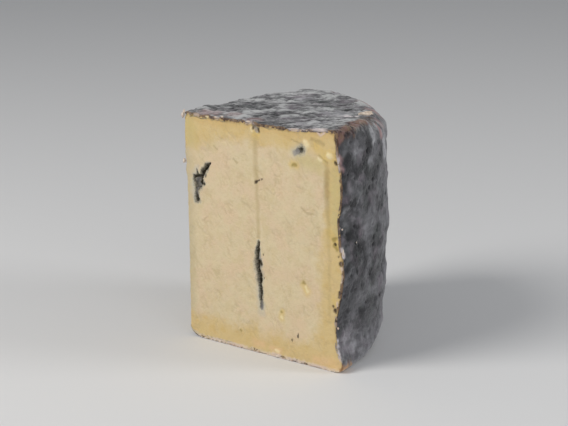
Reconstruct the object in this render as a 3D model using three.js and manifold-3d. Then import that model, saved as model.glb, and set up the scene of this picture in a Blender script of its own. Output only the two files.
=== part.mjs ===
// A quarter wheel of natural-rind blue cheese, standing on its flat base. Millimetres, +Z up.
// The wheel's axis is the upright edge where the two knife cuts meet: one cut faces -Y, the other -X,
// and the wheel's curved wall faces +X and +Y. The origin is under the middle of the bounding box.
import * as THREE from "three";
import { ImprovedNoise } from "three/addons/math/ImprovedNoise.js";
import { mergeVertices } from "three/addons/utils/BufferGeometryUtils.js";
import Module from "manifold-3d";

// Driving dimensions: the whole wheel is 200 mm across and 117 mm tall.
const wheelRadius = 100;
const wheelHeight = 117;

// The body is a box of grid cells bent into a quarter disc.
const planCells = 26;
const heightCells = 30;
const crowding = 0.42;

// Rims between wall and flat faces: tight beside the front cut, rounder further along the wall.
const rims = {
  topAtFront: 3.2,
  top: 0.105 * wheelRadius,
  bottomAtFront: 3,
  bottom: 0.11 * wheelRadius,
  runIn: 0.6, // radians from the front cut
};

// The top face: slightly hollow along the front cut, with a lip at the front corner that dies away
// along the rim, and falling a little towards the rim further round.
const topFace = {
  hollow: 0.2,
  lip: 2.4,
  lipStart: 0.7,
  lipEnd: 0.95,
  lipFade: 0.6,
  fall: 0.7,
  fallRunIn: 1.3,
};

// Humps and hollows of the top face: place from the axis, reach, and how high they stand.
const mounds = [
  { x: 0, y: 82, reach: 14, rise: -1.5 }, // worn shoulder at the back corner
  { x: 6, y: 88, reach: 4, rise: 1 },
  { x: 2, y: 14, reach: 6, rise: 0.9 },
];

// Swellings of the wall: height as a share of the wheel's, angle from the front cut in radians or null
// for all the way round, reach in millimetres, and how far the wall stands out (or in, where negative).
// Each runs further along the wall than up it, by the stretch.
const swellingStretch = 1.7;
const swellings = [
  { height: 0.8, angle: null, reach: 18, out: 0.6 },
  { height: 0.55, angle: null, reach: 16, out: 1.1 },
  { height: 0.12, angle: null, reach: 12, out: -1.5 },
  { height: 0.42, angle: 0, reach: 9, out: 2.2 },
  { height: 0.22, angle: 0, reach: 14, out: -0.9 },
  { height: 0.77, angle: 0, reach: 11, out: 0.8 },
  { height: 0.57, angle: 0, reach: 7, out: -0.7 },
  { height: 0.94, angle: 0, reach: 6, out: -1.5 },
  { height: 0.04, angle: 0, reach: 5, out: 2.4 },
  { height: 0.41, angle: 0.75, reach: 14, out: 0.6 },
  { height: 0.56, angle: 1.15, reach: 16, out: 0.6 },
  { height: 0.3, angle: 1.3, reach: 14, out: -0.9 },
];

// The apex edge is worn at the foot, where the paste has no rind to hold it.
const worn = { height: 4.2, fade: 2.2, lift: 0.8, liftReach: 16, climb: 14 };

// The apex edge bows out a little near its top and hollows below: height, reach up and down, out or in.
const apexBows = [
  { height: 101, reach: 13, out: 0.6 },
  { height: 40, reach: 40, out: -0.3 },
];
const bowSpread = 22; // how far from the apex edge the cuts follow it

// Relief of the moulded rind, and of the two cut faces.
const rindRelief = { folds: 0.75, foldSize: 15, pits: 0.45, pitSize: 8, rooted: 9 };
const cutRelief = { wave: 0.22, waveSize: 17 };

// A torn flake of crust stands up on the top rim: its place round the wheel, its size, and how it lies.
const flake = { around: 0.575, radius: 90.5, above: 0.2, length: 7.4, width: 4.2, thickness: 1.4 };
const flakeLie = { turn: 1.05, tip: 0.35 };

// Open mould cavities in the front cut: from the apex edge, above the base, length, width, depth, and lean
// in radians from upright.
const frontCavities = [
  { across: 47.4, up: 52, length: 15, width: 2.4, depth: 1.5, lean: 0.08 }, // piercing channel, from the top
  { across: 48.4, up: 41.5, length: 16, width: 3.2, depth: 1.7, lean: -0.15 },
  { across: 49.5, up: 29.5, length: 18, width: 2.3, depth: 1.4, lean: -0.03 },
  { across: 13, up: 87.6, length: 12.5, width: 2.8, depth: 1.6, lean: 0.6 }, // branching crack near the apex
  { across: 9.9, up: 82.3, length: 8.5, width: 2.1, depth: 1.5, lean: 0.2 },
  { across: 7.8, up: 85.4, length: 6, width: 2.4, depth: 1.4, lean: -0.4 },
  { across: 5.4, up: 83.2, length: 4.8, width: 2.1, depth: 1.2, lean: 0 },
  { across: 7.9, up: 81.2, length: 7, width: 4.4, depth: 1.7, lean: 0 },
  { across: 7.3, up: 74.8, length: 9, width: 3, depth: 1.4, lean: 0 },
  { across: 11.9, up: 81.5, length: 2.2, width: 2, depth: 0.8, lean: 0 },
  { across: 76.2, up: 107.6, length: 3.4, width: 4, depth: 1, lean: 0.2 }, // pocket under the top rind
  { across: 47.5, up: 87.6, length: 1.9, width: 2.4, depth: 0.8, lean: 0.9 },
  { across: 97.3, up: 64.6, length: 3.2, width: 2.6, depth: 1, lean: 0.6 }, // pits beside the wall
  { across: 97, up: 31.2, length: 3, width: 2.4, depth: 1, lean: -0.6 },
  { across: 98.4, up: 24.6, length: 2.6, width: 1.8, depth: 0.9, lean: -0.2 },
  { across: 47.3, up: 114.6, length: 8, width: 3, depth: 1.7, lean: -0.16 }, // needle hole at the top rind
];

// The other cut has one channel and one crack of the same kind.
const sideCavities = [
  { across: 57, up: 71, length: 27, width: 2.4, depth: 1.4, lean: 0.03 },
  { across: 57.6, up: 113.6, length: 8, width: 2.2, depth: 1.5, lean: 0.05 },
  { across: 29, up: 41, length: 10, width: 2.6, depth: 1.4, lean: -0.7 },
  { across: 32.4, up: 36.6, length: 7, width: 2.3, depth: 1.3, lean: 0.3 },
  { across: 78, up: 28, length: 3.2, width: 3.8, depth: 1, lean: 0.4 },
];

const pasteMaterial = new THREE.MeshStandardMaterial({
  name: "paste",
  color: new THREE.Color(0.85, 0.74, 0.52),
  roughness: 0.55,
  metalness: 0,
});

const perlin = new ImprovedNoise();

function noiseAt(point, size) {
  return perlin.noise(point.x / size + 31.7, point.y / size + 12.3, point.z / size + 5.1);
}

function smooth(from, to, value) {
  return THREE.MathUtils.smoothstep(value, from, to);
}

// The unit square bent into a quarter disc: two sides become the straight cuts, two the arc.
function bendToQuarterDisc(u, v) {
  return new THREE.Vector2(u * Math.sqrt(1 - (v * v) / 2), v * Math.sqrt(1 - (u * u) / 2));
}

// Squares about the rim's centre become circles, so the right-angled corner turns round.
function roundCorner(out, up) {
  if (out <= 0 || up <= 0) return { out, up };
  const scale = Math.max(out, up) / Math.hypot(out, up);
  return { out: out * scale, up: up * scale };
}

function rimRadius(atFront, full, angle) {
  return THREE.MathUtils.lerp(atFront, full, smooth(0, rims.runIn, angle));
}

function roundBothRims(radius, height, angle) {
  const top = rimRadius(rims.topAtFront, rims.top, angle);
  const bottom = rimRadius(rims.bottomAtFront, rims.bottom, angle);
  const above = roundCorner(radius - (wheelRadius - top), height - (wheelHeight - top));
  const below = roundCorner(radius - (wheelRadius - bottom), bottom - height);
  if (height > wheelHeight / 2) return [wheelRadius - top + above.out, wheelHeight - top + above.up];
  return [wheelRadius - bottom + below.out, bottom - below.up];
}

// How far the wall stands out at a height and angle.
function wallSwelling(height, angle) {
  let out = 0;
  for (const s of swellings) {
    const up = height - s.height * wheelHeight;
    const along = s.angle === null ? 0 : ((angle - s.angle) * wheelRadius) / swellingStretch;
    out += s.out * Math.exp(-(up * up + along * along) / (s.reach * s.reach));
  }
  return out;
}

// The top face's height above or below the wheel's nominal height.
function topRise(share, angle) {
  const { hollow, lip, lipStart, lipEnd, lipFade, fall, fallRunIn } = topFace;
  let rise = -hollow * Math.cos(angle) ** 2 * Math.sin(Math.PI * Math.min(share / lipStart, 1));
  rise += lip * smooth(lipStart, lipEnd, share) * (1 - smooth(0, lipFade, angle));
  rise -= fall * smooth(0, fallRunIn, angle) * share ** 4;
  for (const m of mounds) {
    const x = share * wheelRadius * Math.cos(angle) - m.x;
    const y = share * wheelRadius * Math.sin(angle) - m.y;
    rise += m.rise * Math.exp(-(x * x + y * y) / (m.reach * m.reach));
  }
  return rise;
}

// How far the worn foot of the apex edge is lifted at a distance from the wheel's axis.
function apexLift(distance) {
  if (distance > worn.liftReach) return 0;
  return worn.height * Math.exp(-distance / worn.fade) + worn.lift * (1 - distance / worn.liftReach) ** 2;
}

// How far the cuts stand out, near the apex edge, at a height and distance from the axis.
function apexBow(height, distance) {
  if (distance > bowSpread) return 0;
  let out = 0;
  for (const bow of apexBows) out += bow.out * Math.exp(-(((height - bow.height) / bow.reach) ** 2));
  return out * (1 - distance / bowSpread) ** 2;
}

// One grid point of the body, from its place in the unit box.
function bodyPoint(u, v, w) {
  const plan = bendToQuarterDisc(u, v);
  const share = plan.length();
  const angle = Math.atan2(plan.y, plan.x);
  let [radius, height] = roundBothRims(share * wheelRadius, w * wheelHeight, angle);

  radius += wallSwelling(height, angle) * share ** 4;
  height += topRise(share, angle) * w ** 6;
  const climbing = Math.max(0, 1 - height / worn.climb) ** 2;
  height += apexLift(share * wheelRadius) * climbing;

  const point = new THREE.Vector3(radius * Math.cos(angle), radius * Math.sin(angle), height);
  return addRelief(point, u, v, w, share, angle);
}

// Folds and pits push the rind in and out, and the paste close under it moves along.
function addRelief(point, u, v, w, share, angle) {
  const belowWall = (1 - share) * wheelRadius;
  const belowTop = (1 - w) * wheelHeight;
  const onBase = w === 0;
  const wallHold = onBase ? 0 : 1 - smooth(0, rindRelief.rooted, belowWall);
  const topHold = onBase ? 0 : 1 - smooth(0, rindRelief.rooted, belowTop);
  const folds = 1 - 2 * Math.abs(noiseAt(point, rindRelief.foldSize));
  const relief = rindRelief.folds * (folds - 0.6) + rindRelief.pits * noiseAt(point, rindRelief.pitSize);
  const wave = cutRelief.wave * noiseAt(point, cutRelief.waveSize);

  point.x += relief * wallHold * Math.cos(angle);
  point.y += relief * wallHold * Math.sin(angle);
  point.z += relief * topHold;
  const bow = apexBow(point.z, share * wheelRadius);
  if (v === 0) point.y += wave - bow;
  if (u === 0) point.x += wave - bow;
  return point;
}

// Spreads the grid lines so that they lie closer together at the edges than between them.
function crowdToEnds(t) {
  return t - (crowding * Math.sin(2 * Math.PI * t)) / (2 * Math.PI);
}

function wedgeBody() {
  const box = new THREE.BoxGeometry(1, 1, 1, planCells, planCells, heightCells).translate(0.5, 0.5, 0.5);
  const places = box.getAttribute("position");
  for (let i = 0; i < places.count; i++) {
    const u = crowdToEnds(places.getX(i));
    const v = crowdToEnds(places.getY(i));
    const w = crowdToEnds(places.getZ(i));
    const point = bodyPoint(u, v, w);
    places.setXYZ(i, point.x, point.y, point.z);
  }
  return box;
}

// A long thin lens of air centred on the front cut's plane.
function cavityGeometry({ across, up, length, width, depth, lean }) {
  return new THREE.SphereGeometry(1, 10, 6)
    .scale(width / 2, depth, length / 2)
    .rotateY(lean)
    .translate(across, 0, up);
}

// The front cut's plane turned a quarter round the apex edge onto the other cut.
function toSideCut(geometry) {
  return geometry.rotateZ(Math.PI / 2);
}

// The torn flake: a thin curled chip, rooted in the rim and lifted at its tip.
function flakeGeometry() {
  const x = flake.radius * Math.cos(flake.around);
  const y = flake.radius * Math.sin(flake.around);
  return new THREE.SphereGeometry(0.5, 12, 8)
    .scale(flake.length, flake.width, flake.thickness)
    .rotateX(flakeLie.tip)
    .rotateZ(flakeLie.turn)
    .translate(x, y, wheelHeight + flake.above);
}

function toSolid(wasm, geometry) {
  const bare = geometry.clone();
  bare.deleteAttribute("normal");
  bare.deleteAttribute("uv");
  const merged = mergeVertices(bare, 1e-4);
  const triVerts = new Uint32Array(merged.index.array);
  const vertProperties = merged.getAttribute("position").array;
  return new wasm.Manifold(new wasm.Mesh({ numProp: 3, vertProperties, triVerts }));
}

function toGeometry(solid) {
  const mesh = solid.getMesh();
  const geometry = new THREE.BufferGeometry();
  geometry.setAttribute("position", new THREE.BufferAttribute(mesh.vertProperties, 3));
  geometry.setIndex(new THREE.BufferAttribute(mesh.triVerts, 1));
  return geometry;
}

// Puts the middle of the bounding box over the origin, with the base at height zero.
function centreOverBase(geometry) {
  geometry.computeBoundingBox();
  const { min, max } = geometry.boundingBox;
  return geometry.translate(-(min.x + max.x) / 2, -(min.y + max.y) / 2, -min.z);
}

const wasm = await Module();
wasm.setup();

let wedge = toSolid(wasm, wedgeBody()).add(toSolid(wasm, flakeGeometry()));
for (const cavity of frontCavities) wedge = wedge.subtract(toSolid(wasm, cavityGeometry(cavity)));
for (const cavity of sideCavities) wedge = wedge.subtract(toSolid(wasm, toSideCut(cavityGeometry(cavity))));

const geometry = centreOverBase(toGeometry(wedge));
geometry.computeVertexNormals();

const cheese = new THREE.Mesh(geometry, pasteMaterial);
cheese.name = "cheese_wedge";

const group = new THREE.Group();
group.add(cheese);

export default group;
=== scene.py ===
import math
import random
import bpy
import bmesh
from mathutils import Matrix, Vector, noise


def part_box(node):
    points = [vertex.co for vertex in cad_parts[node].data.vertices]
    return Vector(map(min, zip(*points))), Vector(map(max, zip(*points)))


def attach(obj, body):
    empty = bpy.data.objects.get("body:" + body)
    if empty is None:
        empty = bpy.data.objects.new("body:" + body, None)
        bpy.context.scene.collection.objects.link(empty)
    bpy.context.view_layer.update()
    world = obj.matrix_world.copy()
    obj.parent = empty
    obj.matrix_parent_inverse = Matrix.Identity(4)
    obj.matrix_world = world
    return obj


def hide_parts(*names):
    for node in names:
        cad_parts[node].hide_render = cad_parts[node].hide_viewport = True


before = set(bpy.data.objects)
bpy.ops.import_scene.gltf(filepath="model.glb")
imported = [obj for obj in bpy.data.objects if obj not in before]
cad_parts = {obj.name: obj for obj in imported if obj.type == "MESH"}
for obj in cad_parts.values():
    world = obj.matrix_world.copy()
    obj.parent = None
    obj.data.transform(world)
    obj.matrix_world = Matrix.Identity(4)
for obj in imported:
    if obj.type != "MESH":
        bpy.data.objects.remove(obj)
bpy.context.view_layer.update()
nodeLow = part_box("cheese_wedge")[0]
print("frame loaded")

# Shapes are worked out in millimetres round the wheel's own axis, the upright edge where the two knife
# cuts meet, and set into the frame at the end. That edge bows out past the axis by bowOut metres.
bowOut = 0.000575
wheelAxis = Vector((nodeLow.x + bowOut, nodeLow.y + bowOut, nodeLow.z))
quarter = math.pi / 2

noise.seed_set(2)  # so the noise vectors repeat from run to run

wheel = {
    "radius": 100.0,
    "height": 117.0,
    "topRimAtFront": 3.2,  # rims are tight beside the front cut and rounder further along
    "topRim": 10.5,
    "bottomRimAtFront": 3.0,
    "bottomRim": 11.0,
    "rimRunIn": 0.6,  # radians from the front cut
    "hollow": 0.2,  # the top face dips along the front cut
    "lip": 2.4,  # and rises to a lip at the front corner
    "lipStart": 0.7,
    "lipEnd": 0.95,
    "lipFade": 0.6,
    "fall": 0.7,  # further round it falls towards the rim
    "fallRunIn": 1.3,
    "footWear": 4.2,  # lost paste at the foot of the apex edge
    "footFade": 2.2,
    "footLift": 0.8,
    "footReach": 16.0,
    "footClimb": 14.0,
    "bowSpread": 22.0,  # how far from the apex edge the cuts bow with it
    "swellingStretch": 1.7,  # swellings run further along the wall than up it
}

# Humps and hollows of the top face: x, y, reach, rise.
topMounds = [(0, 82, 14, -1.5), (6, 88, 4, 1.0), (2, 14, 6, 0.9)]

# Swellings of the wall: share of height, angle from the front cut (None is all round), reach, out.
wallSwellings = [
    (0.8, None, 18, 0.6),
    (0.55, None, 16, 1.1),
    (0.12, None, 12, -1.5),
    (0.42, 0.0, 9, 2.2),
    (0.22, 0.0, 14, -0.9),
    (0.77, 0.0, 11, 0.8),
    (0.57, 0.0, 7, -0.7),
    (0.94, 0.0, 6, -1.5),
    (0.04, 0.0, 5, 2.4),
    (0.41, 0.75, 14, 0.6),
    (0.56, 1.15, 16, 0.6),
    (0.3, 1.3, 14, -0.9),
]

# Bows of the apex edge: height, reach up and down, out.
apexBows = [(101, 13, 0.6), (40, 40, -0.3)]


def smoothStep(low, high, value):
    t = min(max((value - low) / (high - low), 0.0), 1.0)
    return t * t * (3.0 - 2.0 * t)


def blend(a, b, share):
    return a + (b - a) * share


# 1 at the middle of a hill, fading out over its reach.
def hill(away, reach):
    return math.exp(-((away / reach) ** 2))


def roundCorner(out, up):
    if out <= 0.0 or up <= 0.0:
        return out, up
    scale = max(out, up) / math.hypot(out, up)
    return out * scale, up * scale


def wallSwelling(height, angle):
    out = 0.0
    for share, around, reach, size in wallSwellings:
        up = height - share * wheel["height"]
        along = 0.0 if around is None else (angle - around) * wheel["radius"] / wheel["swellingStretch"]
        out += size * math.exp(-(up * up + along * along) / (reach * reach))
    return out


def topRise(share, angle):
    rise = -wheel["hollow"] * math.cos(angle) ** 2 * math.sin(math.pi * min(share / wheel["lipStart"], 1.0))
    lip = wheel["lip"] * smoothStep(wheel["lipStart"], wheel["lipEnd"], share)
    rise += lip * (1.0 - smoothStep(0.0, wheel["lipFade"], angle))
    rise -= wheel["fall"] * smoothStep(0.0, wheel["fallRunIn"], angle) * share**4
    x, y = share * wheel["radius"] * math.cos(angle), share * wheel["radius"] * math.sin(angle)
    for mx, my, reach, size in topMounds:
        rise += size * math.exp(-((x - mx) ** 2 + (y - my) ** 2) / (reach * reach))
    return rise


# The smooth wheel: a place given by reach from the axis, rise above the base and angle from the front cut.
def wheelForm(reach, rise, angle):
    radius, height = wheel["radius"], wheel["height"]
    ease = smoothStep(0.0, wheel["rimRunIn"], angle)
    if rise > height / 2:
        rim = blend(wheel["topRimAtFront"], wheel["topRim"], ease)
        out, up = roundCorner(reach - (radius - rim), rise - (height - rim))
        away, tall = radius - rim + out, height - rim + up
    else:
        rim = blend(wheel["bottomRimAtFront"], wheel["bottomRim"], ease)
        out, down = roundCorner(reach - (radius - rim), rim - rise)
        away, tall = radius - rim + out, rim - down
    share = reach / radius
    away += wallSwelling(tall, angle) * share**4
    tall += topRise(share, angle) * max(rise / height, 0.0) ** 6
    if reach < wheel["footReach"]:
        wear = wheel["footWear"] * math.exp(-reach / wheel["footFade"])
        wear += wheel["footLift"] * (1.0 - reach / wheel["footReach"]) ** 2
        tall += wear * max(0.0, 1.0 - tall / wheel["footClimb"]) ** 2
    return Vector((away * math.cos(angle), away * math.sin(angle), tall))


# How far the cuts stand out near the apex edge.
def apexBow(height, reach):
    if reach > wheel["bowSpread"]:
        return 0.0
    out = sum(size * hill(height - middle, span) for middle, span, size in apexBows)
    return out * (1.0 - reach / wheel["bowSpread"]) ** 2


# Relief of the moulded rind, as pairs of size across and height in mm unless a note says otherwise.
rindRelief = {
    "topSwells": (17.0, 0.8),
    "topLumps": (4.0, 1.15),
    "topWrinkles": (2.1, 0.55),
    "topDrag": 0.84,  # radians: the top's lumps are drawn out this way
    "topDrawn": 2.7,
    "rimCalm": 0.8,  # lumps are lower where the top rolls over into the wall
    "edgeCalm": 0.5,  # and along the cuts
    "rimFolds": (2.7, 0.55),  # folds that run down over the rim
    "rimFoldsDrawn": 3.0,
    "wallSwells": (17.0, 1.2),
    "wallBumps": (6.0, 0.66),
    "wallWrinkles": (2.6, 0.2),
    "wallPits": (2.6, 0.75),
    "pitStarts": (0.37, 0.58),  # noise at which a pit starts and is full
    "wallDrawn": 1.5,  # lumps of the wall run further round it than up it
    "crinkles": (6.0, 0.6),  # sharper folds where the wall goes round to the back
    "crinkledFrom": (0.3, 0.8),  # radians at which they start and are full
    "grain": (1.2, 0.16),
    "baseShare": 0.1,  # the base is pressed nearly flat
    "meanLump": 0.6,  # of lumps that run from 0 in a crease to 1
    "crest": (0.58, 1.9),  # mask at the mean height, and the mm of relief that it spans
}


# Soft swells of the given size across and height. The shift keeps one pattern clear of another.
def swell(size, height, place, shift=(0, 0, 0)):
    return height * noise.noise(place / size + Vector(shift))


# Rounded lumps with narrow creases between them.
def lumpy(size, height, place, shift=(0, 0, 0)):
    place = place + Vector(shift)
    bent = place / size + noise.noise_vector(place / (size * 1.6)) * 0.7
    lump = min(1.0, 2.6 * abs(noise.noise(bent))) ** 0.7
    return height * (lump - rindRelief["meanLump"])


# Relief in mm at a smooth place, where up is the upward part of the surface normal.
def rindHeight(place, up):
    r = rindRelief
    topShare = smoothStep(0.25, 0.8, up)
    angle, reach = math.atan2(place.y, place.x), math.hypot(place.x, place.y)
    unrolled = Vector((angle * wheel["radius"], reach, place.z))
    top, wall = 0.0, 0.0
    if topShare > 0.0:
        c, s = math.cos(r["topDrag"]), math.sin(r["topDrag"])
        along, aside = place.x * c + place.y * s, place.y * c - place.x * s
        drawn = Vector((along / r["topDrawn"], aside, place.z * 0.4))
        top = swell(*r["topSwells"], place) + lumpy(*r["topLumps"], drawn)
        top += lumpy(*r["topWrinkles"], drawn, (40, 9, 3))
        top *= 1.0 - r["rimCalm"] * smoothStep(0.98, 0.7, up)
        top *= 1.0 - r["edgeCalm"] * smoothStep(3.0, 0.5, min(place.x, place.y))
    if topShare < 1.0:
        wide = Vector((unrolled.x / r["wallDrawn"], reach, place.z))
        wall = swell(*r["wallSwells"], wide) + swell(*r["wallBumps"], wide, (7, 70, 11))
        wall += swell(*r["wallWrinkles"], wide, (3, 5, 90))
        wall += smoothStep(*r["crinkledFrom"], angle) * lumpy(*r["crinkles"], unrolled, (7, 70, 11))
        pitSize, pitDepth = r["wallPits"]
        wall -= pitDepth * smoothStep(*r["pitStarts"], noise.noise(place / pitSize))
    height = blend(wall, top, topShare) + swell(*r["grain"], place)
    onRim = smoothStep(0.05, 0.4, up) * smoothStep(0.99, 0.86, up)
    if onRim > 0.0:
        down = Vector((unrolled.x, reach / r["rimFoldsDrawn"], place.z / r["rimFoldsDrawn"]))
        height += onRim * lumpy(*r["rimFolds"], down, (5, 21, 8))
    return height * blend(1.0, r["baseShare"], smoothStep(0.2, 0.9, -up))


# The rind: a thin moulded shell round top, wall and base.
rindShell = {
    "columns": 19,  # coarse cells, each cut into finer ones on the outside
    "rows": 28,
    "finer": 7,
    "thickness": 1.5,
    "deeper": 2.6,  # extra thickness away from the cuts, out of sight
    "deeperFrom": 0.12,  # radians from a cut at which all of it is there
    "cutBack": 0.16,  # how far the shell's cut edge stands back from the paste
    "cutRagged": 0.07,
}

# Places on the rind made lighter (paler powder, and painted highlight on lit ridges and near the far edge
# of the wall), made darker (darker rind, and painted shade in pits, below the brown rim and under the
# flake), blushed pink, rubbed brown, stained tan or crusted white: x, y, z from the axis in mm, size, share.
rindPlaces = {
    "light": [
        (98.9, 14.5, 107, 5, 0.45), (91.2, 31.4, 116.9, 2.4, 0.9), (94.6, 30.7, 113.6, 2.8, 1),
        (94.8, 32.7, 109.2, 3, 1), (87.6, 48.7, 106.5, 4, 1), (86.6, 51, 100.4, 4, 0.9),
        (99.7, 8.3, 91.4, 6, 0.3), (97.2, 23.4, 66.4, 7, 0.3), (99.7, 8, 16.5, 5, 0.65),
        (98.9, 12, 10.5, 4, 0.55), (95.6, 29, 98.5, 4, 0.5), (100, 5, 76, 6, 0.4),
        (64, 42, 117, 8, 0.5), (25, 63, 117, 6, 0.4), (42, 64, 117, 6, 0.3), (76, 20, 117, 6, 0.6),
        (68, 12, 117, 5, 0.5), (36, 84, 60, 12, 0.6), (60, 78, 30, 12, 0.6),
    ],
    "dark": [
        (99.1, 5.2, 114, 3, 1), (99.1, 10.4, 115.8, 3.2, 1), (98.1, 16.4, 116, 3.4, 1),
        (95.8, 24.6, 115.8, 3.2, 1), (99, 1.5, 112, 3.4, 1), (99, 0.5, 108, 2.6, 1),
        (98.6, 19, 111, 3.4, 0.4), (99.7, 6.5, 103.5, 4.6, 0.9), (98.8, 15.4, 99.6, 5.5, 1),
        (97.5, 21.5, 102.5, 4, 0.5), (92.8, 37.2, 75, 4, 0.8), (97.6, 21.6, 51.9, 3.2, 1),
        (98.5, 18, 48.5, 3.2, 0.9), (99.8, 6, 43, 5.5, 0.8), (97.3, 23.2, 27.7, 2.4, 1),
        (99.6, 6.6, 6.6, 2.4, 0.9), (99.6, 8.5, 33, 7, 0.6), (96.5, 24, 84, 7, 0.4),
        # the first place on the next line is a painted shadow under the flake
        (80.1, 45.3, 116.7, 2.2, 0.9), (92, 38, 12, 8, 0.5), (57, 4, 117, 6.5, 0.8),
        (40, 16, 117, 7, 0.8), (22, 39, 117, 7, 0.9), (18, 18, 117, 6.5, 1), (40, 7, 117, 5, 0.9),
        (44, 27, 117, 7, 1), (37, 44, 117, 7, 0.8), (60, 78, 84, 12, 0.7), (20, 98, 40, 12, 0.6),
    ],
    "pink": [
        (88.8, 42.4, 113.4, 2.6, 1), (89.4, 44, 110.4, 2.8, 1), (84, 52, 113.5, 4, 0.7),
        (70, 66, 116, 6, 0.8), (58, 77, 116, 6, 0.7), (99.5, 0.5, 105.4, 2.8, 0.9),
        (99.5, 0.5, 100.4, 2.8, 0.9), (90.2, 27, 118, 3, 0.35), (12, 5, 117, 7, 0.7),
        (26, 8, 117, 5, 0.5), (42, 5, 117, 5, 0.5), (8, 97, 96, 7, 0.5),
    ],
    "brown": [
        (99.2, 0.2, 116.1, 3.4, 1), (98.9, 2.6, 117.7, 3.8, 1), (97.8, 7.7, 118.4, 4, 1),
        (96.2, 11.5, 118.4, 4, 1), (94.6, 15.4, 118.5, 4, 1), (92.6, 19.6, 118.2, 4.2, 1),
        (91, 24, 118, 4.4, 1), (89.5, 29.1, 117.6, 4.4, 1), (87.6, 34.4, 117, 4.2, 1),
        (84.8, 40, 116.6, 3.8, 1), (82, 45.5, 116.2, 3, 0.9), (99.4, 5.4, 4.6, 1.6, 1),
        (99.6, 3, 4.8, 1.2, 1), (22, 95, 114.5, 6, 0.8), (52, 82, 114, 6, 0.6), (58, 79, 6, 7, 0.6),
    ],
    "tan": [
        (99.8, 0.2, 1, 3, 1), (99.7, 2.4, 2.4, 2.6, 1), (99.6, 1.2, 1.4, 3.4, 1),
        (99.4, 4.6, 1.4, 3, 1), (99, 8.6, 1.8, 2.6, 0.9),
    ],
    "white": [
        (99, 0, 16, 1.5, 1), (99, 0, 13.4, 1.5, 1), (99.2, 0, 10.8, 1.5, 1), (99.6, 0, 8.2, 1.5, 1),
        (100, 0, 6, 1.3, 1), (102.2, 0, 62, 1.5, 1), (102.6, 0, 59, 1.5, 1), (101.6, 0, 71.6, 1.3, 1),
        (99.6, 0, 105.4, 1.4, 0.7), (99.5, 0, 100.6, 1.4, 0.6), (72.8, 38.8, 117.1, 1.8, 1),
        (73.7, 41.2, 117.1, 1.8, 1), (75.2, 43, 117.1, 1.8, 1), (21.4, 0, 117, 1.3, 0.6),
        (41.4, 0, 117, 1.4, 0.8), (43.8, 0, 117.1, 1.5, 0.8), (68.4, 0, 117.2, 1.2, 0.7),
        (71, 0, 117.3, 1.3, 0.8), (73.6, 0, 117.4, 1.2, 0.7), (77.8, 0, 117.6, 1.4, 0.6),
        (82, 0, 118.4, 1.2, 0.7), (84.4, 0, 118.6, 1.3, 0.8), (86.8, 0, 118.6, 1.6, 0.9),
        (89, 0, 118.8, 1.6, 0.9), (91.2, 0, 119.2, 1.2, 0.7),
    ],
}


def bendToQuarterDisc(u, v):
    x, y = u * math.sqrt(1.0 - v * v / 2.0), v * math.sqrt(1.0 - u * u / 2.0)
    return math.hypot(x, y), math.atan2(y, x)


# A unit block of grid cells, open on the two sides that the knife cut.
def openBlock(bm, columns, rows):
    bmesh.ops.create_grid(bm, x_segments=columns, y_segments=columns, size=0.5)
    bmesh.ops.translate(bm, verts=bm.verts, vec=(0.5, 0.5, 0.0))
    raised = bmesh.ops.extrude_face_region(bm, geom=bm.faces[:])
    top = [g for g in raised["geom"] if isinstance(g, bmesh.types.BMVert)]
    bmesh.ops.translate(bm, verts=top, vec=(0.0, 0.0, 1.0))
    uprights = [e for e in bm.edges if abs(e.verts[0].co.z - e.verts[1].co.z) > 0.5]
    bmesh.ops.subdivide_edges(bm, edges=uprights, cuts=rows - 1, use_grid_fill=True)
    middles = [(f, f.calc_center_median()) for f in bm.faces]
    knifeSides = [f for f, middle in middles if middle.x < 1e-5 or middle.y < 1e-5]
    bmesh.ops.delete(bm, geom=knifeSides, context="FACES")
    bmesh.ops.recalc_face_normals(bm, faces=bm.faces[:])


# How strongly a finish is felt at a place, from its listed places with their edges shaken uneven.
def shareOfPlaces(place, places):
    share = 0.0
    for x, y, z, size, strength in places:
        if abs(place.x - x) + abs(place.y - y) + abs(place.z - z) < size * 4.0:
            slow, quick = min(2.2, 0.6 * size), min(0.9, 0.4 * size)
            shaken = place + noise.noise_vector(place / 4.0) * slow + noise.noise_vector(place / 1.6) * quick
            distance = (shaken - Vector((x, y, z))).length
            share = max(share, strength * smoothStep(size * 1.35, size * 0.5, distance))
    return share


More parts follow.
